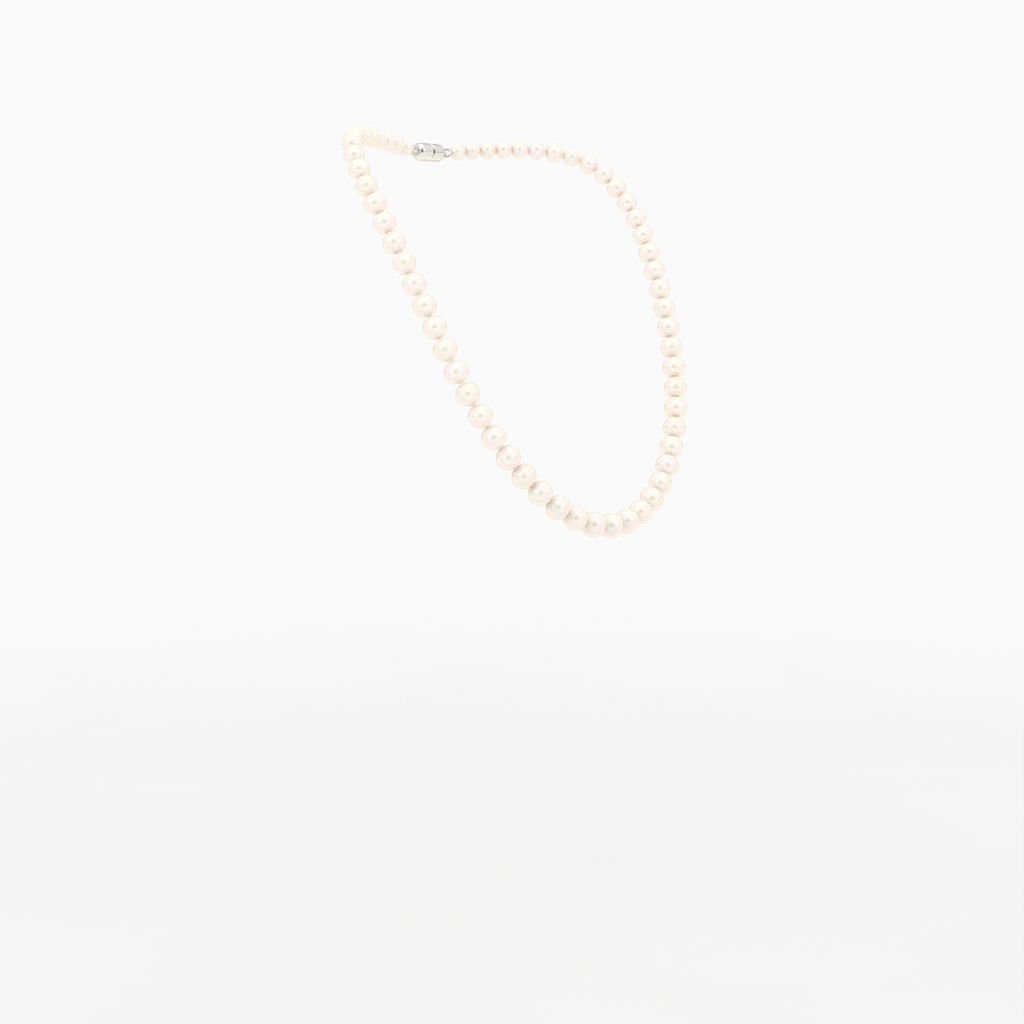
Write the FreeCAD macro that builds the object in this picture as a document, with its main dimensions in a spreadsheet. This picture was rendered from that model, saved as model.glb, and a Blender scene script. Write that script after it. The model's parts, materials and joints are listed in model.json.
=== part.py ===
import FreeCAD, Part
import os

import Sketcher

# A graduated pearl necklace in the shape it hangs in when it is worn.
# Millimetres. +Z is up, the front of the necklace faces -Y, and the strand is the same on both
# sides of the plane X = 0. The origin is the centre of the front pearl.

Vector = FreeCAD.Vector

doc = FreeCAD.newDocument("pearl_necklace")

# ------------------------------------------------------------------ driving dimensions

DIMENSIONS = [
    ("front_pearl", 7.6, "diameter of the front pearl, the largest"),
    ("nape_pearl", 5.4, "diameter of the last pearl before the clasp, the smallest"),
    ("taper_power", 1.8, "how late the pearls start to get smaller; 1 is an even taper"),
    ("pearls_per_side", 30, "pearls between the front pearl and the clasp, on each side"),
    ("paired_pearls", 8, "of those, the last ones, which hang in pairs at the nape"),
    ("drill_bore", 0.7, "bore of the hole through each pearl"),
    ("knot_gap", 0.3, "space that a knot keeps between two pearls"),
    ("silk_width", 0.5, "diameter of the silk thread"),
    ("knot_width", 0.95, "width of a pulled-down knot"),
    ("knot_length", 0.18, "length of a pulled-down knot along the strand"),
    ("front_reach", 16.5, "drape: how far the strand runs straight out from the front centre"),
    ("collar_side", 47.0, "drape: lower side point, half width"),
    ("collar_depth", 7.5, "drape: lower side point, distance behind the front"),
    ("collar_rise", 24.0, "drape: lower side point, height"),
    ("chest_side", 58.5, "drape: upper side point, half width"),
    ("chest_depth", 31.0, "drape: upper side point, distance behind the front"),
    ("chest_rise", 83.5, "drape: upper side point, height"),
    ("shoulder_side", 65.0, "drape: point above the shoulder, half width"),
    ("shoulder_depth", 65.5, "drape: point above the shoulder, distance behind the front"),
    ("shoulder_rise", 133.5, "drape: point above the shoulder, height"),
    ("nape_reach", 14.5, "drape: how far the strand runs straight out from the clasp"),
    ("nape_depth", 85.5, "drape: clasp, distance behind the front"),
    ("nape_rise", 122.5, "drape: clasp, height"),
    ("shell_width", 6.0, "clasp: outside diameter of both shells"),
    ("shell_length", 5.6, "clasp: from its middle to the closed end of one shell"),
    ("shell_round", 1.6, "clasp: rounding of the shell's closed end"),
    ("mouth_gap", 0.1, "clasp: gap between the two shells when the clasp is shut"),
    ("mouth_bevel", 0.25, "clasp: bevel around the mouth of each shell"),
    ("magnet_width", 4.0, "clasp: diameter of each magnet"),
    ("magnet_length", 2.2, "clasp: length of each magnet"),
    ("magnet_overlap", 1.0, "clasp: how far the plug's magnet stands into the socket"),
    ("magnet_clearance", 0.15, "clasp: clearance around and in front of that magnet"),
    ("eye_ring", 2.4, "clasp: diameter of the eye, through the centre of its wire"),
    ("eye_wire", 0.7, "clasp: wire diameter of the eye"),
    ("gimp_width", 0.8, "outside diameter of the coiled sleeve around the silk at the clasp"),
    ("gimp_wall", 0.12, "wall of that sleeve"),
    ("gimp_opening", 70.0, "angle of the sleeve's loop that stays open at the last knot"),
    ("link_clearance", 0.05, "clearance between the sleeve and the clasp's eye"),
    ("loop_silk", 0.4, "diameter of the silk inside the sleeve"),
]

dims = doc.addObject("Spreadsheet::Sheet", "dims")
for row, (alias, value, meaning) in enumerate(DIMENSIONS, 1):
    dims.set(f"A{row}", meaning)
    dims.set(f"B{row}", str(value))
    dims.setAlias(f"B{row}", alias)
doc.recompute()


def value(expression):
    """The number that an expression over the sheet's names gives."""
    return float(dims.evalExpression(expression))


def bind(thing, **expressions):
    """Bind properties of a document object to expressions over the sheet."""
    for name, expression in expressions.items():
        thing.setExpression(name, expression)


# ------------------------------------------------------------------ the drape

PER_SIDE = int(value("dims.pearls_per_side"))
SINGLE_PER_SIDE = PER_SIDE - int(value("dims.paired_pearls"))


def diameter_rule(number):
    """Diameter of a pearl, by its number from the front pearl, which is 0."""
    loss = "(dims.front_pearl - dims.nape_pearl)"
    return f"(dims.front_pearl - {loss} * pow({number} / dims.pearls_per_side; dims.taper_power))"


def drape_edge():
    """Half of the necklace's centre line, from the front centre to the middle of the clasp."""
    poles = [Vector(0, 0, 0), Vector(value("dims.front_reach"), 0, 0)]
    for name in ("collar", "chest", "shoulder"):
        place = [value(f"dims.{name}_{part}") for part in ("side", "depth", "rise")]
        poles.append(Vector(*place))
    for across in (value("dims.nape_reach"), 0):
        poles.append(Vector(across, value("dims.nape_depth"), value("dims.nape_rise")))
    curve = Part.BSplineCurve()
    curve.buildFromPoles(poles, False, 3)
    return curve.toShape()


def knots_along(edge):
    """The knots of one side: each pearl takes its own diameter and one gap of the line."""
    pitches = [value(f"{diameter_rule(n)} + dims.knot_gap") for n in range(PER_SIDE + 1)]
    travelled = -pitches[0] / 2
    knots = []
    for pitch in pitches:
        travelled += pitch
        knots.append(edge.valueAt(edge.getParameterByLength(travelled)))
    return knots


knots_on_line = knots_along(drape_edge())
FRONT_CENTRE = Vector(0, knots_on_line[0].y, knots_on_line[0].z)
RIGHT_KNOTS = [knot - FRONT_CENTRE for knot in knots_on_line]
LEFT_KNOTS = [Vector(-knot.x, knot.y, knot.z) for knot in RIGHT_KNOTS]
CLASP_CENTRE = Vector(0, value("dims.nape_depth"), value("dims.nape_rise")) - FRONT_CENTRE
SIDES = {"right": RIGHT_KNOTS, "left": LEFT_KNOTS}
UP = Vector(0, 0, 1)


def along(start, end, at):
    """A placement at a point, with its local Z turned along the line from start to end."""
    return FreeCAD.Placement(at, FreeCAD.Rotation(UP, end - start))


# ------------------------------------------------------------------ pearls

def add_pearl(label, number, start, end):
    """A ball with a hole drilled through it, strung between two knots."""
    ball = doc.addObject("Part::Sphere", label + "_ball")
    bind(ball, Radius=diameter_rule(number) + " / 2")
    drill = doc.addObject("Part::Cylinder", label + "_drill")
    bind(drill, Radius="dims.drill_bore / 2", Height="2 * dims.front_pearl")
    drill.setExpression("Placement.Base.z", "-dims.front_pearl")
    pearl = doc.addObject("Part::Cut", label)
    pearl.Label = label
    pearl.Base = ball
    pearl.Tool = drill
    pearl.Placement = along(start, end, (start + end) / 2)
    return pearl


def add_pearl_pair(side, number, knots):
    """Two neighbouring nape pearls that share one sub-part as separate solids."""
    group = doc.addObject("Part::Compound", f"pearls_{side}_{number}_{number + 1}")
    group.Label = f"pearls_{side}_{number}_{number + 1}"
    group.Links = [
        add_pearl(f"pearl_{side}_{n}", n, knots[n - 1], knots[n]) for n in (number, number + 1)
    ]
    return group


def add_side_pearls(side):
    """All pearls of one side: singles from the front, then pairs at the nape."""
    knots = SIDES[side]
    pieces = []
    for number in range(1, SINGLE_PER_SIDE + 1):
        label = f"pearl_{side}_{number:02d}"
        pieces.append(add_pearl(label, number, knots[number - 1], knots[number]))
    for number in range(SINGLE_PER_SIDE + 1, PER_SIDE, 2):
        pieces.append(add_pearl_pair(side, number, knots))
    return pieces


# ------------------------------------------------------------------ clasp shells and magnets

EYE_CENTRE = "dims.shell_length + dims.eye_ring / 2 - dims.eye_wire / 4"
SLEEVE_IN_EYE = (
    f"{EYE_CENTRE} + (dims.eye_ring - dims.eye_wire - dims.gimp_width) / 2 - dims.link_clearance"
)
SIDE_TURNS = {"right": FreeCAD.Rotation(), "left": FreeCAD.Rotation(UP, 180)}
SIDE_SIGNS = {"right": 1, "left": -1}


def clasp_placement(side):
    """Puts a half that is drawn as the right one, around the X axis, on its own side."""
    return FreeCAD.Placement(CLASP_CENTRE, SIDE_TURNS[side])


def stepped_sketch(body, name, corners):
    """A closed outline of level and upright lines on the XY plane.

    A corner is a pair of expressions for X and Y; a distance that its neighbour already fixes
    is not dimensioned again, and Y = "0" keeps the corner on the X axis."""
    plane = next(f for f in body.Origin.OriginFeatures if f.Role == "XY_Plane")
    sketch = body.newObject("Sketcher::SketchObject", name)
    sketch.AttachmentSupport = [(plane, "")]
    sketch.MapMode = "FlatFace"
    places = [Vector(value(x), value(y), 0) for x, y in corners]
    count = len(corners)
    for index in range(count):
        following = (index + 1) % count
        sketch.addGeometry(Part.LineSegment(places[index], places[following]), False)
        level = corners[index][1] == corners[following][1]
        kind = "Horizontal" if level else "Vertical"
        sketch.addConstraint(Sketcher.Constraint(kind, index))
    for index in range(count):
        joined = Sketcher.Constraint("Coincident", index, 2, (index + 1) % count, 1)
        sketch.addConstraint(joined)
    fixed = set()
    for index, corner in enumerate(corners):
        for kind, expression in zip(("DistanceX", "DistanceY"), corner):
            if (kind, expression) in fixed:
                continue
            fixed.add((kind, expression))
            if expression == "0":
                sketch.addConstraint(Sketcher.Constraint("PointOnObject", index, 1, -1))
                continue
            rule = Sketcher.Constraint(kind, -1, 1, index, 1, value(expression))
            sketch.setExpression(f"Constraints[{sketch.addConstraint(rule)}]", expression)
    return sketch


def round_edges_at(body, feature, kind, name, amount, x_expression, r_expression):
    """Fillet or bevel the circles of that radius at that X."""
    place, radius = value(x_expression), value(r_expression)
    names = []
    for number, edge in enumerate(feature.Shape.Edges, 1):
        circle = isinstance(edge.Curve, Part.Circle) and abs(edge.Curve.Radius - radius) < 1e-6
        if circle and abs(edge.Curve.Center.x - place) < 1e-6:
            names.append(f"Edge{number}")
    rounded = body.newObject(f"PartDesign::{kind}", name)
    rounded.Base = (feature, names)
    bind(rounded, **{"Radius" if kind == "Fillet" else "Size": amount})
    doc.recompute()
    return rounded


def add_shell(label, side, pocket):
    """One clasp shell: a turned cup that holds a magnet, with a wire eye on its closed end."""
    body = doc.addObject("PartDesign::Body", label)
    body.Label = label
    mouth, end, outside = "dims.mouth_gap / 2", "dims.shell_length", "dims.shell_width / 2"
    corners = [(mouth, pocket[0][1]), (mouth, outside), (end, outside), (end, "0")] + pocket[::-1]
    sketch = stepped_sketch(body, label + "_profile", corners)
    turned = body.newObject("PartDesign::Revolution", label + "_turned")
    turned.Profile = sketch
    turned.ReferenceAxis = (sketch, ["H_Axis"])
    turned.Angle = 360
    doc.recompute()
    rounded = round_edges_at(
        body, turned, "Fillet", label + "_end", "dims.shell_round", end, outside
    )
    round_edges_at(
        body, rounded, "Chamfer", label + "_mouth", "dims.mouth_bevel", mouth, outside
    )
    eye = body.newObject("PartDesign::AdditiveTorus", label + "_eye")
    bind(eye, Radius1="dims.eye_ring / 2", Radius2="dims.eye_wire / 2")
    eye.setExpression("Placement.Base.x", EYE_CENTRE)
    body.Placement = clasp_placement(side)
    return body


def socket_pocket():
    """The socket's hole, from its mouth inwards: a recess for the plug, then the magnet's seat."""
    seat = "dims.magnet_overlap + dims.magnet_clearance"
    recess, snug = "dims.magnet_width / 2 + dims.magnet_clearance", "dims.magnet_width / 2"
    floor = f"{seat} + dims.magnet_length"
    return [(seat, recess), (seat, snug), (floor, snug), (floor, "0")]


def plug_pocket():
    """The plug's hole: a seat that leaves part of the magnet standing out."""
    floor = "dims.magnet_length - dims.magnet_overlap"
    return [(floor, "dims.magnet_width / 2"), (floor, "0")]


def add_magnet(label, side, start):
    """A disc magnet on the clasp's axis, from the given distance outwards."""
    magnet = doc.addObject("Part::Cylinder", label)
    magnet.Label = label
    bind(magnet, Radius="dims.magnet_width / 2", Height="dims.magnet_length")
    outwards = Vector(SIDE_SIGNS[side], 0, 0)
    magnet.Placement = FreeCAD.Placement(
        CLASP_CENTRE + outwards * value(start), FreeCAD.Rotation(UP, outwards)
    )
    return magnet


# ------------------------------------------------------------------ loops at the clasp and silk

def loop_frame(side):
    """Radius, centre and rotation of the loop from the last knot through the clasp's eye.

    The loop stands upright; its local X points at the knot and its local Y is up."""
    knot = SIDES[side][-1]
    in_eye = CLASP_CENTRE + Vector(SIDE_SIGNS[side] * value(SLEEVE_IN_EYE), 0, 0)
    to_knot = (knot - in_eye).normalize()
    rotation = FreeCAD.Rotation(to_knot, UP, to_knot.cross(UP), "XZY")
    return knot.distanceToPoint(in_eye) / 2, (knot + in_eye) / 2, rotation


def add_gimp(label, side):
    """The coiled wire sleeve as a hollow ring, open at the knot."""
    radius, centre, rotation = loop_frame(side)
    walls = []
    for name, across in (("outside", "dims.gimp_width / 2"),
                         ("inside", "dims.gimp_width / 2 - dims.gimp_wall")):
        ring = doc.addObject("Part::Torus", f"{label}_{name}")
        ring.Radius1 = radius
        bind(ring, Radius2=across, Angle3="360 - dims.gimp_opening")
        walls.append(ring)
    sleeve = doc.addObject("Part::Cut", label)
    sleeve.Label = label
    sleeve.Base, sleeve.Tool = walls
    face_knot = FreeCAD.Rotation(UP, value("dims.gimp_opening / 2"))
    sleeve.Placement = FreeCAD.Placement(centre, rotation * face_knot)
    return sleeve


def add_silk_run(name, start, end):
    run = doc.addObject("Part::Cylinder", name)
    bind(run, Radius="dims.silk_width / 2")
    run.Height = start.distanceToPoint(end)
    run.Placement = along(start, end, start)
    return run


def add_silk_knot(name, before, knot, after):
    """A flat bead of silk, turned halfway between the runs on its two sides."""
    bead = doc.addObject("Part::Cylinder", name)
    bind(bead, Radius="dims.knot_width / 2", Height="dims.knot_length")
    to_middle = (after - before).normalize() * value("dims.knot_length / 2")
    bead.Placement = along(before, after, knot - to_middle)
    return bead


def add_silk(label):
    """The whole silk: straight through every pearl, a knot in every gap, a loop at each end."""
    loops = {side: loop_frame(side) for side in SIDES}
    line = LEFT_KNOTS[::-1] + RIGHT_KNOTS
    ends = [loops["left"][1]] + line + [loops["right"][1]]
    pieces = [add_silk_run(f"{label}_run_{n}", *pair) for n, pair in enumerate(zip(line, line[1:]))]
    for n, trio in enumerate(zip(ends, ends[1:], ends[2:])):
        pieces.append(add_silk_knot(f"{label}_knot_{n}", *trio))
    for side, (radius, centre, rotation) in loops.items():
        ring = doc.addObject("Part::Torus", f"{label}_loop_{side}")
        ring.Radius1 = radius
        bind(ring, Radius2="dims.loop_silk / 2")
        ring.Placement = FreeCAD.Placement(centre, rotation)
        pieces.append(ring)
    silk = doc.addObject("Part::MultiFuse", label)
    silk.Label = label
    silk.Shapes = pieces
    return silk


# ------------------------------------------------------------------ assembly

sub_parts = [add_pearl("pearl_centre", 0, LEFT_KNOTS[0], RIGHT_KNOTS[0])]
for side_name in SIDES:
    sub_parts += add_side_pearls(side_name)
    sub_parts.append(add_gimp("gimp_loop_" + side_name, side_name))
sub_parts += [
    add_silk("silk_thread"),
    add_shell("clasp_plug", "right", plug_pocket()),
    add_shell("clasp_socket", "left", socket_pocket()),
    add_magnet("plug_magnet", "right", "-dims.magnet_overlap"),
    add_magnet("socket_magnet", "left", "dims.magnet_overlap + dims.magnet_clearance"),
]
doc.recompute()

for thing in doc.Objects:
    if "Invalid" in thing.State or "Error" in thing.State:
        raise RuntimeError(f"{thing.Label} did not compute: {thing.State}")
for part in sub_parts:
    if part.Shape.isNull() or not part.Shape.isValid() or not part.Shape.Solids:
        raise RuntimeError(f"{part.Label} is not a valid solid")

os.makedirs("parts", exist_ok=True)
for part in sub_parts:
    part.Shape.exportStep(f"parts/{part.Label}.step")
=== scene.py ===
import json
import math
import random

import bpy
import numpy as np
from mathutils import Matrix, Vector


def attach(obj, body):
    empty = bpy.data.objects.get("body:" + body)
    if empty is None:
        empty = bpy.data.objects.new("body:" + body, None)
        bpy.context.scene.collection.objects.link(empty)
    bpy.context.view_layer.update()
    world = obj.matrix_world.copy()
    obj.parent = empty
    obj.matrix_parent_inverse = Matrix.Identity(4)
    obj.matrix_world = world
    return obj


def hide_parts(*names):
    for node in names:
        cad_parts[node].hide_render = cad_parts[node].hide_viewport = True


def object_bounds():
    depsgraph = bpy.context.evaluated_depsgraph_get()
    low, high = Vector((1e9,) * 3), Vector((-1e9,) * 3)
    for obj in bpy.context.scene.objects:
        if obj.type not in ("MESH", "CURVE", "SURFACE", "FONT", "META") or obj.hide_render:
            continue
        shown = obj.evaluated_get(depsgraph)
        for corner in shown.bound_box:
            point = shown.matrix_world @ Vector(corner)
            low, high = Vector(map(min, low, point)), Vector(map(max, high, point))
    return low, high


# The looks of a knotted pearl strand. Metres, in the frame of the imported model: +Z is up, the
# front of the necklace faces -Y, and the origin is the centre of the front pearl.

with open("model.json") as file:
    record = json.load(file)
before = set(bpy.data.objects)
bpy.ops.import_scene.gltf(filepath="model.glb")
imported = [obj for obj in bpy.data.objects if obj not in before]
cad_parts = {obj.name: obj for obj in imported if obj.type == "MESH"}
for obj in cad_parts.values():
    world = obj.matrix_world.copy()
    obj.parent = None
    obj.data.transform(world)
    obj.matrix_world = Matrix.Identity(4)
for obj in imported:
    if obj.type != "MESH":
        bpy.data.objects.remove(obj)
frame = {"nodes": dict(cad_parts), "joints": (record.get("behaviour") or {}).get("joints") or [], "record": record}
cad_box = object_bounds()

MM = 0.001
BODIES = frame["record"]["behaviour"]["bodies"]
JOINTS = {joint["child"]: joint for joint in frame["joints"]}

# ------------------------------------------------------------------ mesh helpers

NEARLY_PARALLEL = 0.1


def new_piece(name, vertices, faces, material, smooth=True):
    """A mesh object of that name with one material."""
    mesh = bpy.data.meshes.new(name)
    mesh.from_pydata([tuple(v) for v in vertices], [], [tuple(f) for f in faces])
    mesh.polygons.foreach_set("use_smooth", [smooth] * len(mesh.polygons))
    mesh.materials.append(material)
    mesh.validate()
    mesh.update()
    piece = bpy.data.objects.new(name, mesh)
    bpy.context.scene.collection.objects.link(piece)
    return piece


def grid_faces(rows, columns, closed_rows=False):
    """Quads between neighbouring rings of vertices; each ring is closed."""
    faces = []
    for row in range(rows if closed_rows else rows - 1):
        below = row * columns
        above = (row + 1) % rows * columns
        for column in range(columns):
            after = (column + 1) % columns
            faces.append((below + column, below + after, above + after, above + column))
    return faces


def tube(path, radius, sides, closed=False):
    """Vertices and quads of a round tube along a list of points, with caps unless it is closed."""
    points = np.array(path, float)
    if closed:
        tangents = np.roll(points, -1, 0) - np.roll(points, 1, 0)
    else:
        tangents = np.gradient(points, axis=0)
    tangents /= np.linalg.norm(tangents, axis=1)[:, None]
    normal = np.cross(tangents[0], (0.0, 0.0, 1.0))
    if np.linalg.norm(normal) < NEARLY_PARALLEL:
        normal = np.cross(tangents[0], (0.0, 1.0, 0.0))
    normal /= np.linalg.norm(normal)
    normals = [normal]
    for tangent in tangents[1:]:
        normal = normal - tangent * (normal @ tangent)
        normal = normal / np.linalg.norm(normal)
        normals.append(normal)
    normals = np.array(normals)
    angles = np.linspace(0, 2 * math.pi, sides, endpoint=False)
    if closed:
        # the frame comes back turned by some angle; spread that turn along the loop
        last = normals[-1] - tangents[0] * (normals[-1] @ tangents[0])
        side = np.cross(tangents[0], normals[0])
        turn = math.atan2(last @ side, last @ normals[0])
        turns = -turn * np.arange(len(points)) / len(points)
    else:
        turns = np.zeros(len(points))
    sideways = np.cross(tangents, normals)
    around = turns[:, None] + angles[None, :]
    offsets = (
        np.cos(around)[..., None] * normals[:, None, :]
        + np.sin(around)[..., None] * sideways[:, None, :]
    )
    vertices = (points[:, None, :] + radius * offsets).reshape(-1, 3)
    faces = grid_faces(len(points), sides, closed)
    if not closed:
        faces.append(tuple(range(sides))[::-1])
        faces.append(tuple(range((len(points) - 1) * sides, len(points) * sides)))
    return vertices, faces


def joined(parts):
    """One list of vertices and faces from several."""
    vertices, faces, start = [], [], 0
    for part_vertices, part_faces in parts:
        vertices.extend(np.asarray(part_vertices).tolist())
        faces.extend(tuple(index + start for index in face) for face in part_faces)
        start += len(part_vertices)
    return vertices, faces


def axes_from(direction):
    """A rotation matrix whose local Z runs along the direction."""
    turn = Vector((0, 0, 1)).rotation_difference(Vector(direction))
    return np.array(turn.to_matrix())


def placed(vertices, turn, centre):
    """The vertices turned by a rotation matrix and then moved to the centre."""
    return np.asarray(vertices) @ turn.T + np.array(centre)


# ------------------------------------------------------------------ reading the strand

# the wall of a bore has less variance across than this share of its variance along
SLENDER = 0.1


def islands(mesh):
    """Groups of vertex numbers that edges connect."""
    parent = list(range(len(mesh.vertices)))

    def top(index):
        while parent[index] != index:
            parent[index] = parent[parent[index]]
            index = parent[index]
        return index

    for edge in mesh.edges:
        a, b = top(edge.vertices[0]), top(edge.vertices[1])
        parent[a] = b
    groups = {}
    for index in range(len(mesh.vertices)):
        groups.setdefault(top(index), []).append(index)
    return list(groups.values())


def drilled_balls(node):
    """Centre, drill axis and radius of each drilled ball in a CAD node."""
    mesh = frame["nodes"][node].data
    places = np.array([v.co for v in mesh.vertices])
    balls = []
    for group in islands(mesh):
        wall = places[group]
        middle = wall.mean(0)
        spread, directions = np.linalg.eigh(np.cov((wall - middle).T))
        if spread[1] < SLENDER * spread[2]:
            balls.append([middle, directions[:, 2]])
    for ball in balls:
        others = [other[0] for other in balls if other is not ball]
        gaps = np.linalg.norm(places - ball[0], axis=1)
        own = np.ones(len(places), bool)
        for other in others:
            own &= gaps <= np.linalg.norm(places - other, axis=1)
        ball.append(float(np.median(gaps[own])))
    return balls


def read_side(side):
    """The pearls of one side from the front outwards: name, body, centre, axis and radius."""
    pearls = []
    for body, nodes in BODIES.items():
        for node in nodes:
            if node.startswith("pearl") and f"_{side}_" in node:
                found = drilled_balls(node)
                pivot = np.array(JOINTS[body]["pos_m"])
                found.sort(key=lambda ball: np.linalg.norm(ball[0] - pivot))
                for centre, axis, radius in found:
                    pearls.append({"body": body, "node": node, "centre": centre,
                                   "axis": axis, "radius": radius})
    for number, pearl in enumerate(pearls, 1):
        pearl["name"] = f"{side}_{number:02d}"
    return pearls


def read_strand():
    """All pearls from the left end through the front to the right end, axes pointing that way."""
    centre, axis, radius = drilled_balls("pearl_centre")[0]
    front = {"name": "centre", "body": "pearl_centre", "node": "pearl_centre",
             "centre": centre, "axis": axis, "radius": radius}
    strand = read_side("left")[::-1] + [front] + read_side("right")
    for number, pearl in enumerate(strand):
        before = strand[max(number - 1, 0)]["centre"]
        after = strand[min(number + 1, len(strand) - 1)]["centre"]
        if (after - before) @ pearl["axis"] < 0:
            pearl["axis"] = -pearl["axis"]
    return strand


STRAND = read_strand()


def half_gap():
    """Half the free length between two pearls, from the hinges in the gaps around one pearl."""
    pearl = next(pearl for pearl in STRAND if pearl["name"] == "right_02")
    before = np.array(JOINTS["pearl_right_02"]["pos_m"])
    after = np.array(JOINTS["pearl_right_03"]["pos_m"])
    return (np.linalg.norm(after - before) - 2 * pearl["radius"]) / 2


HALF_GAP = half_gap()


def knot_after(pearl):
    """The middle of the knot at the pearl's right end."""
    return pearl["centre"] + pearl["axis"] * (pearl["radius"] + HALF_GAP)


def knot_before(pearl):
    """The middle of the knot at the pearl's left end."""
    return pearl["centre"] - pearl["axis"] * (pearl["radius"] + HALF_GAP)


# ------------------------------------------------------------------ node materials


def new_material(name):
    """A material, its Principled shader, and helpers to add nodes and to link them to it."""
    material = bpy.data.materials.new(name)
    material.use_nodes = True
    nodes = material.node_tree.nodes
    shader = nodes["Principled BSDF"]

    def add(kind, inputs=None, **settings):
        node = nodes.new(kind)
        for key, setting in settings.items():
            setattr(node, key, setting)
        for key, source in (inputs or {}).items():
            if isinstance(source, bpy.types.NodeSocket):
                material.node_tree.links.new(source, node.inputs[key])
            else:
                node.inputs[key].default_value = source
        return node

    def link(source, key):
        material.node_tree.links.new(source, shader.inputs[key])

    return material, shader, add, link


def ramp(node, stops):
    """Set a colour ramp's stops, each a position and a colour."""
    elements = node.color_ramp.elements
    while len(elements) < len(stops):
        elements.new(0.5)
    for element, (position, colour) in zip(elements, stops):
        element.position = position
        element.color = (*colour, 1)
    return node


def nacre_material():
    """White nacre: a cream body that varies from pearl to pearl under a sharp clear lustre, with a
    pink overtone where it faces the viewer and a painted warm reflection towards its rims."""
    material, shader, add, link = new_material("nacre")
    own = add("ShaderNodeObjectInfo").outputs["Random"]
    where = add("ShaderNodeTexCoord").outputs["Object"]
    body = ramp(add("ShaderNodeValToRGB", {"Fac": own}), [
        (0.0, (0.97, 0.91, 0.815)),
        (0.35, (0.975, 0.92, 0.845)),
        (0.7, (0.98, 0.91, 0.86)),
        (1.0, (0.96, 0.92, 0.855)),
    ])
    clouds = add("ShaderNodeTexNoise", {"Vector": where, "Scale": 260.0, "Detail": 1.0})
    facing = add("ShaderNodeLayerWeight", {"Blend": 0.45}).outputs["Facing"]
    # painted reflection: with the viewing angle the colour runs from a pink overtone, where the surface faces the
    # viewer, to a cream tint at the rims that stands in for warm light reflected along the edges
    overtone_and_painted_rim = ramp(add("ShaderNodeValToRGB", {"Fac": facing}), [
        (0.0, (1.0, 0.96, 0.965)),
        (0.35, (1.0, 0.95, 0.96)),
        (0.7, (0.99, 0.98, 0.93)),
        (1.0, (0.97, 0.95, 0.88)),
    ])
    tinted = add("ShaderNodeMix", {
        "Factor": 1.0, "A": body.outputs["Color"], "B": overtone_and_painted_rim.outputs["Color"],
    }, data_type="RGBA", blend_type="MULTIPLY")
    link(tinted.outputs["Result"], "Base Color")
    shader.inputs["Roughness"].default_value = 0.10
    shader.inputs["IOR"].default_value = 2.2
    shader.inputs["Specular IOR Level"].default_value = 0.6
    film = add("ShaderNodeMapRange", {
        "Value": clouds.outputs["Fac"], "From Min": 0.3, "From Max": 0.7,
        "To Min": 430.0, "To Max": 510.0,
    })
    link(film.outputs["Result"], "Thin Film Thickness")
    shader.inputs["Thin Film IOR"].default_value = 1.11
    grain = add("ShaderNodeTexNoise", {"Vector": where, "Scale": 500.0, "Detail": 1.0})
    bump = add("ShaderNodeBump", {
        "Height": grain.outputs["Fac"], "Strength": 0.15, "Distance": 0.01 * MM,
    })
    link(bump.outputs["Normal"], "Normal")
    return material


def silk_material():
    """White silk: fine fibres that vary its shade and roughen it, with a little sheen and a faint painted glow."""
    material, shader, add, link = new_material("silk")
    where = add("ShaderNodeTexCoord").outputs["Object"]
    fibres = add("ShaderNodeTexNoise", {"Vector": where, "Scale": 9000.0, "Detail": 2.0})
    shade = ramp(add("ShaderNodeValToRGB", {"Fac": fibres.outputs["Fac"]}), [
        (0.3, (0.96, 0.90, 0.78)),
        (0.7, (0.99, 0.96, 0.88)),
    ])
    link(shade.outputs["Color"], "Base Color")
    # painted light: the silk glows faintly in its own colour, which lifts the shade that falls on it between the
    # pearls
    link(shade.outputs["Color"], "Emission Color")
    shader.inputs["Emission Strength"].default_value = 0.22
    shader.inputs["Roughness"].default_value = 0.55
    shader.inputs["Sheen Weight"].default_value = 0.4
    bump = add("ShaderNodeBump", {
        "Height": fibres.outputs["Fac"], "Strength": 0.3, "Distance": 0.02 * MM,
    })
    link(bump.outputs["Normal"], "Normal")
    return material


# worn metal runs between these shares of its mean roughness
SMOOTHER = 0.6
ROUGHER = 1.5


def metal_material(name, colour, roughness, scratch):
    """Polished metal with fine wear: roughness and bump follow a stretched noise."""
    material, shader, add, link = new_material(name)
    where = add("ShaderNodeTexCoord").outputs["Object"]
    stretched = add("ShaderNodeMapping", {"Vector": where, "Scale": (300.0, 2600.0, 2600.0)})
    wear = add("ShaderNodeTexNoise", {"Vector": stretched.outputs["Vector"], "Detail": 4.0})
    spread = add("ShaderNodeMapRange", {
        "Value": wear.outputs["Fac"], "From Min": 0.3, "From Max": 0.7,
        "To Min": roughness * SMOOTHER, "To Max": roughness * ROUGHER,
    })
    link(spread.outputs["Result"], "Roughness")
    shader.inputs["Metallic"].default_value = 1.0
    shader.inputs["Base Color"].default_value = (*colour, 1)
    bump = add("ShaderNodeBump", {
        "Height": wear.outputs["Fac"], "Strength": scratch, "Distance": 0.01 * MM,
    })
    link(bump.outputs["Normal"], "Normal")
    return material


NACRE = nacre_material()
SILK = silk_material()
SILVER = metal_material("silver", (0.70, 0.69, 0.67), 0.14, 0.2)
NICKEL = metal_material("nickel", (0.52, 0.51, 0.48), 0.25, 0.3)

# ------------------------------------------------------------------ pearls

PEARL_SIDES = 56
PEARL_RINGS = 36
BORE_RADIUS = 0.35 * MM
BORE_RINGS = 5
RIM_ROUND = 0.06 * MM
PEARL_SEED = 1893
# the pearls are a little wider across the drill hole than along it
BUTTON = 1.055


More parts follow.
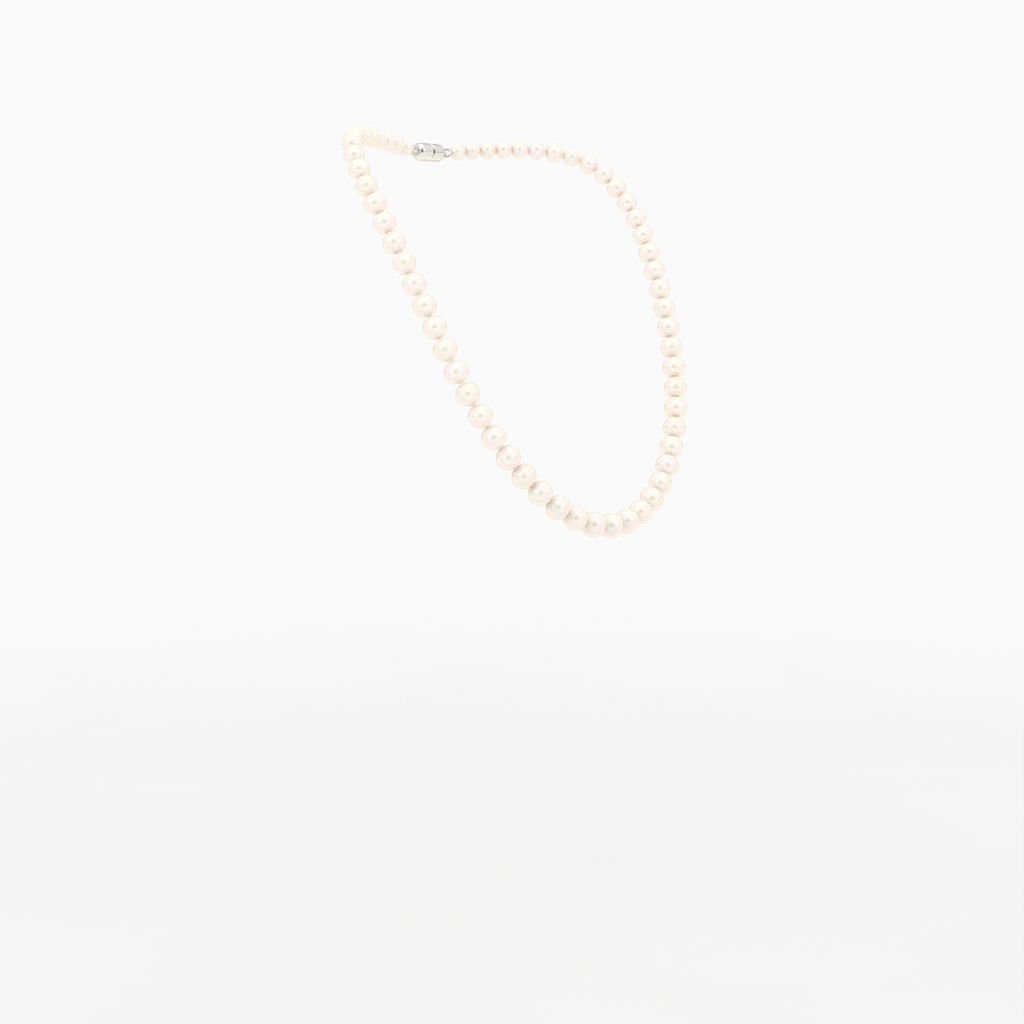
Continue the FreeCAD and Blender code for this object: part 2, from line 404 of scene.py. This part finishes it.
def nacre_swelling(polar, around, dice):
    """How far a pearl stays inside its perfect button shape, as a share of its radius."""
    oval = dice.uniform(0.0, 0.014) * np.cos(around * 2 + dice.uniform(0, 6)) * np.sin(polar) ** 2
    barrel = dice.uniform(-0.010, 0.012) * np.cos(2 * polar)
    lean = dice.uniform(0.0, 0.008) * np.cos(around + dice.uniform(0, 6)) * np.sin(2 * polar)
    waves = dice.uniform(0.0, 0.005) * np.cos(around * 3 + dice.uniform(0, 6)) * np.sin(polar) ** 3
    rings = dice.uniform(0.0, 0.0022) * np.cos(polar * dice.uniform(9, 15) + dice.uniform(0, 6))
    shape = oval + barrel + lean + waves + rings
    for _ in range(dice.randint(0, 3)):
        pit_polar, pit_around = dice.uniform(0.5, 2.6), dice.uniform(0, 2 * math.pi)
        cosine = np.cos(polar) * math.cos(pit_polar) + (
            np.sin(polar) * math.sin(pit_polar) * np.cos(around - pit_around)
        )
        away = np.arccos(np.clip(cosine, -1, 1))
        shape = shape - dice.uniform(0.004, 0.012) * np.exp(-(away / dice.uniform(0.07, 0.2)) ** 2)
    return shape - shape.max()


def pearl_shape(radius, dice):
    """A nearly round button with a drilled hole along local Z, as one closed surface."""
    rim = math.asin((BORE_RADIUS + RIM_ROUND) / (radius * BUTTON))
    polar = np.linspace(rim, math.pi - rim, PEARL_RINGS)[:, None]
    around = np.linspace(0, 2 * math.pi, PEARL_SIDES, endpoint=False)[None, :]
    out = radius * (1 + nacre_swelling(polar, around, dice))
    ball = np.stack([
        BUTTON * out * np.sin(polar) * np.cos(around),
        BUTTON * out * np.sin(polar) * np.sin(around),
        out * np.cos(polar) * np.ones_like(around),
    ], axis=2)
    end = ball[-1, :, 2].mean()
    bore = np.linspace(end + RIM_ROUND, -end - RIM_ROUND, BORE_RINGS)
    circle = np.stack([np.cos(around[0]), np.sin(around[0])], axis=1) * BORE_RADIUS
    wall = np.array([np.column_stack([circle, np.full(PEARL_SIDES, z)]) for z in bore])
    vertices = np.concatenate([ball, wall]).reshape(-1, 3)
    return vertices, grid_faces(PEARL_RINGS + BORE_RINGS, PEARL_SIDES, closed_rows=True)


def build_pearls():
    """One piece per pearl, each turned about its drill hole by its own angle."""
    dice = random.Random(PEARL_SEED)
    for pearl in STRAND:
        vertices, faces = pearl_shape(pearl["radius"], dice)
        spin = np.array(Matrix.Rotation(dice.uniform(0, 2 * math.pi), 3, "Z"))
        turn = axes_from(pearl["axis"]) @ spin
        piece = new_piece("nacre_" + pearl["name"], vertices, faces, NACRE)
        turn4 = Matrix(turn.tolist()).to_4x4()
        piece.matrix_world = Matrix.Translation(Vector(pearl["centre"])) @ turn4
        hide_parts(pearl["node"])
        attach(piece, pearl["body"])


# ------------------------------------------------------------------ silk

PLY_RADIUS = 0.12 * MM
PLY_TURN_LENGTH = 1.3 * MM
PLY_SIDES = 7
STEPS_PER_TURN = 9
FEWEST_STEPS = 6
KNOT_LOBE = 0.36 * MM
KNOT_PLY_RADIUS = 0.07 * MM
KNOT_SIDES = 8
KNOT_STEPS = 66
KNOT_SEED = 7
# the two plies are drawn a little thinner than their spacing, so that they stay apart
PLY_SLACK = 0.96
# where the knot crosses itself, its ply is pressed together a little
KNOT_PRESS = 0.98


def silk_run(start, end):
    """Two plies twisted around each other from one knot to the next."""
    start, end = np.array(start), np.array(end)
    length = np.linalg.norm(end - start)
    turn = axes_from(end - start)
    turns = length / PLY_TURN_LENGTH
    steps = max(int(turns * STEPS_PER_TURN), FEWEST_STEPS)
    along = np.linspace(0, length, steps)
    parts = []
    for phase in (0, math.pi):
        angle = along / length * turns * 2 * math.pi + phase
        path = np.column_stack([PLY_RADIUS * np.cos(angle), PLY_RADIUS * np.sin(angle), along])
        parts.append(tube(placed(path, turn, start), PLY_RADIUS * PLY_SLACK, PLY_SIDES))
    return parts


def silk_knot(at, direction, phase):
    """An overhand knot pulled down flat between two pearls: a closed trefoil of ply."""
    angle = np.linspace(0, 2 * math.pi, KNOT_STEPS, endpoint=False)
    path = np.column_stack([
        (np.sin(angle) + 2 * np.sin(2 * angle)) / 3 * KNOT_LOBE,
        (np.cos(angle) - 2 * np.cos(2 * angle)) / 3 * KNOT_LOBE,
        -np.sin(3 * angle) * KNOT_PLY_RADIUS * KNOT_PRESS,
    ])
    spin = np.array(Matrix.Rotation(phase, 3, "Z"))
    turned = placed(path, axes_from(direction) @ spin, at)
    return tube(turned, KNOT_PLY_RADIUS, KNOT_SIDES, closed=True)


def build_silk():
    """One piece of silk per pearl: its run through the bore and the knot at its right end."""
    dice = random.Random(KNOT_SEED)
    for number, pearl in enumerate(STRAND):
        parts = silk_run(knot_before(pearl), knot_after(pearl))
        parts.append(silk_knot(knot_after(pearl), pearl["axis"], dice.uniform(0, 6)))
        if number == 0:
            parts.append(silk_knot(knot_before(pearl), pearl["axis"], dice.uniform(0, 6)))
        piece = new_piece("silk_" + pearl["name"], *joined(parts), SILK)
        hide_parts("silk_thread")
        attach(piece, pearl["body"])


# ------------------------------------------------------------------ loops at the clasp

GIMP_RADIUS = 0.4 * MM
WIRE_RADIUS = 0.06 * MM
# from one winding to the next, a little more than the wire's thickness
GIMP_PITCH = 2.06 * WIRE_RADIUS
GIMP_OPENING = math.radians(70)
STEPS_PER_WINDING = 10
WIRE_SIDES = 5
LOOP_SILK_RADIUS = 0.2 * MM
LOOP_STEPS = 72
LOOP_SIDES = 8


def loop_frame(side):
    """Centre, radius and axes of the loop between the last knot and the clasp's eye."""
    half = {"right": "clasp_plug", "left": "clasp_socket"}[side]
    last = STRAND[-1] if side == "right" else STRAND[0]
    knot = knot_after(last) if side == "right" else knot_before(last)
    in_eye = np.array(JOINTS[half]["pos_m"])
    outwards = (knot - in_eye) / np.linalg.norm(knot - in_eye)
    upright = np.array([0, 0, 1.0]) - outwards * outwards[2]
    upright /= np.linalg.norm(upright)
    turn = np.column_stack([outwards, upright, np.cross(outwards, upright)])
    return (knot + in_eye) / 2, np.linalg.norm(knot - in_eye) / 2, turn, last


def build_gimp(side):
    """French wire: a fine coil that sleeves the silk's end loop, bent round through the eye."""
    centre, radius, turn, last = loop_frame(side)
    start, stop = GIMP_OPENING / 2, 2 * math.pi - GIMP_OPENING / 2
    windings = int((stop - start) * radius / GIMP_PITCH)
    steps = windings * STEPS_PER_WINDING
    along = np.linspace(start, stop, steps)
    wind = np.linspace(0, windings * 2 * math.pi, steps)
    sleeve = GIMP_RADIUS - WIRE_RADIUS
    reach = radius + sleeve * np.cos(wind)
    path = np.column_stack([
        reach * np.cos(along), reach * np.sin(along), sleeve * np.sin(wind),
    ])
    shape = tube(placed(path, turn, centre), WIRE_RADIUS, WIRE_SIDES)
    piece = new_piece("gimp_" + side, *shape, SILVER)
    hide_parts("gimp_loop_" + side)
    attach(piece, last["body"])
    build_silk_loop(side, centre, radius, turn, last)


def build_silk_loop(side, centre, radius, turn, last):
    """The end loop of the silk, inside the gimp."""
    ring = np.linspace(0, 2 * math.pi, LOOP_STEPS, endpoint=False)
    path = np.column_stack([radius * np.cos(ring), radius * np.sin(ring), np.zeros(LOOP_STEPS)])
    shape = tube(placed(path, turn, centre), LOOP_SILK_RADIUS, LOOP_SIDES, closed=True)
    silk = new_piece("silk_loop_" + side, *shape, SILK)
    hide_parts("silk_thread")
    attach(silk, last["body"])


# ------------------------------------------------------------------ clasp


def finish_clasp():
    """The clasp's shells and magnets keep their CAD shape and take a worked metal."""
    for node, material in (("clasp_plug", SILVER), ("clasp_socket", SILVER),
                           ("plug_magnet", NICKEL), ("socket_magnet", NICKEL)):
        part = frame["nodes"][node]
        part.data.materials.clear()
        part.data.materials.append(material)


# ------------------------------------------------------------------ camera, floor and light

VIEW_AZIMUTH = math.radians(-44.65)
VIEW_ELEVATION = math.radians(5.3)
VIEW_DISTANCE = 0.6555
LENS = 69.9
SENSOR = 36.0
# the camera looks at a point below the necklace, where the middle of a display neck would be
AIM_BELOW_CENTRE = 0.0601
AIM_ASIDE = -0.0017
FLOOR_BELOW = 0.132
FLOOR_MIDDLE_Y = 0.04
FLOOR_RADIUS = 1.8
FLOOR_SIDES = 96
FLOOR_FADES_FROM = 0.22
FLOOR_FADES_TO = 0.85
BACKDROP = (0.955, 0.955, 0.965)


def view_axes(azimuth, elevation):
    """Right, up and forward of a camera that looks along that azimuth, 0 being +Y."""
    right = Vector((math.cos(azimuth), math.sin(azimuth), 0))
    forward = Vector((
        -math.sin(azimuth) * math.cos(elevation),
        math.cos(azimuth) * math.cos(elevation),
        -math.sin(elevation),
    ))
    return right, right.cross(forward), forward


def add_camera():
    """A camera in front of the necklace and to its left, level with it and looking down a bit."""
    low, high = (Vector(corner) for corner in cad_box)
    right, up, forward = view_axes(VIEW_AZIMUTH, VIEW_ELEVATION)
    aim = (low + high) / 2 + right * AIM_ASIDE - up * AIM_BELOW_CENTRE
    data = bpy.data.cameras.new("camera")
    data.lens = LENS
    data.sensor_width = SENSOR
    data.clip_start = 0.01
    camera = bpy.data.objects.new("camera", data)
    bpy.context.scene.collection.objects.link(camera)
    turn = Matrix((right, up, -forward)).transposed()
    camera.matrix_world = Matrix.Translation(aim - forward * VIEW_DISTANCE) @ turn.to_4x4()
    bpy.context.scene.camera = camera


def add_floor():
    """A pale round floor that fades away far from the necklace, so that no edge shows."""
    material, shader, add, link = new_material("floor")
    where = add("ShaderNodeTexCoord").outputs["Object"]
    mottle = add("ShaderNodeTexNoise", {"Vector": where, "Scale": 6.0, "Detail": 3.0})
    shade = ramp(add("ShaderNodeValToRGB", {"Fac": mottle.outputs["Fac"]}), [
        (0.3, (0.77, 0.77, 0.78)),
        (0.7, (0.79, 0.79, 0.80)),
    ])
    link(shade.outputs["Color"], "Base Color")
    shader.inputs["Roughness"].default_value = 0.7
    away = add("ShaderNodeVectorMath", {0: where}, operation="LENGTH")
    fade = add("ShaderNodeMapRange", {
        "Value": away.outputs["Value"], "From Min": FLOOR_FADES_FROM,
        "From Max": FLOOR_FADES_TO, "To Min": 1.0, "To Max": 0.0,
    }, interpolation_type="SMOOTHSTEP")
    link(fade.outputs["Result"], "Alpha")
    around = np.linspace(0, 2 * math.pi, FLOOR_SIDES, endpoint=False)
    rim = [(FLOOR_RADIUS * math.cos(a), FLOOR_RADIUS * math.sin(a), 0) for a in around]
    floor = new_piece("floor", rim, [range(FLOOR_SIDES)], material, smooth=False)
    floor.location = (0, FLOOR_MIDDLE_Y, cad_box[0][2] - FLOOR_BELOW)
    # the pearls see the plain surroundings instead of the floor, which keeps their lustre clean
    floor.visible_diffuse = False
    floor.visible_glossy = False


# what the necklace sees around it, from straight below at 0 past the horizon at 0.5 upwards
SURROUNDINGS = [
    (0.0, (1.26, 1.24, 1.16)),
    (0.46, (1.21, 1.19, 1.12)),
    (0.50, (0.78, 0.76, 0.72)),
    (0.53, (0.78, 0.76, 0.73)),
    (0.60, (1.00, 1.00, 0.99)),
    (0.80, (1.10, 1.09, 1.05)),
]
# soft round patches on top of that: azimuth and elevation of the middle, the angles from there
# where a patch is full and where it has faded out, its radiance and its colour
BRIGHT_PATCHES = {
    "overhead": (-60, 78, 22, 40, 0.40, (1.0, 1.0, 0.99)),
    "key_left": (-97, 20, 4, 13, 3.6, (1.0, 0.99, 0.98)),
    "key_right": (8, 20, 4, 13, 3.6, (1.0, 0.99, 0.98)),
    "cream_chest": (140, -40, 25, 55, 0.25, (1.0, 0.70, 0.40)),
}
# the same for patches that take light away, with the share of light that is left
DARK_PATCHES = {
    "photographer": (-44.65, 8, 9, 28, 0.02),
    "edge_of_the_room": (135.35, 0, 30, 62, 0.55),
}


def add_surroundings():
    """A white studio: the camera sees an even white, and the pearls see a grey horizon under a
    bright ceiling, soft lamps, and a dark patch where the photographer stands."""
    world = bpy.data.worlds.new("studio")
    bpy.context.scene.world = world
    world.use_nodes = True
    nodes, links = world.node_tree.nodes, world.node_tree.links
    where = nodes.new("ShaderNodeTexCoord").outputs["Generated"]

    def round_patch(azimuth, elevation, full, faded, inside, outside):
        """A value that runs from the outside value to the inside one around a direction."""
        towards = nodes.new("ShaderNodeVectorMath")
        towards.operation = "DOT_PRODUCT"
        forward = view_axes(math.radians(azimuth), math.radians(elevation))[2]
        towards.inputs[1].default_value = -forward
        links.new(where, towards.inputs[0])
        spread = nodes.new("ShaderNodeMapRange")
        spread.interpolation_type = "SMOOTHSTEP"
        spread.inputs["From Min"].default_value = math.cos(math.radians(faded))
        spread.inputs["From Max"].default_value = math.cos(math.radians(full))
        spread.inputs["To Min"].default_value = outside
        spread.inputs["To Max"].default_value = inside
        links.new(towards.outputs["Value"], spread.inputs["Value"])
        return spread.outputs["Result"]

    split = nodes.new("ShaderNodeSeparateXYZ")
    links.new(where, split.inputs["Vector"])
    height = nodes.new("ShaderNodeMapRange")
    height.inputs["From Min"].default_value = -1
    links.new(split.outputs["Z"], height.inputs["Value"])
    shade = ramp(nodes.new("ShaderNodeValToRGB"), SURROUNDINGS)
    links.new(height.outputs["Result"], shade.inputs["Fac"])
    room = nodes["Background"]
    links.new(shade.outputs["Color"], room.inputs["Color"])
    left_over = nodes.new("ShaderNodeMath")
    left_over.operation = "MULTIPLY"
    for place, patch in enumerate(DARK_PATCHES.values()):
        links.new(round_patch(*patch, 1.0), left_over.inputs[place])
    links.new(left_over.outputs["Value"], room.inputs["Strength"])
    lit = room.outputs["Background"]
    for *patch, colour in BRIGHT_PATCHES.values():
        lamp = nodes.new("ShaderNodeBackground")
        lamp.inputs["Color"].default_value = (*colour, 1)
        links.new(round_patch(*patch, 0.0), lamp.inputs["Strength"])
        both = nodes.new("ShaderNodeAddShader")
        links.new(lit, both.inputs[0])
        links.new(lamp.outputs["Background"], both.inputs[1])
        lit = both.outputs["Shader"]
    plain = nodes.new("ShaderNodeBackground")
    plain.inputs["Color"].default_value = (*BACKDROP, 1)
    path = nodes.new("ShaderNodeLightPath")
    seen = nodes.new("ShaderNodeMath")
    seen.operation = "MAXIMUM"
    links.new(path.outputs["Is Camera Ray"], seen.inputs[0])
    links.new(path.outputs["Is Transmission Ray"], seen.inputs[1])
    choice = nodes.new("ShaderNodeMixShader")
    links.new(seen.outputs["Value"], choice.inputs["Fac"])
    links.new(lit, choice.inputs[1])
    links.new(plain.outputs["Background"], choice.inputs[2])
    links.new(choice.outputs["Shader"], nodes["World Output"].inputs["Surface"])


build_pearls()
build_silk()
build_gimp("right")
build_gimp("left")
finish_clasp()
add_camera()
add_floor()
add_surroundings()
bpy.context.scene.view_settings.view_transform = "Standard"
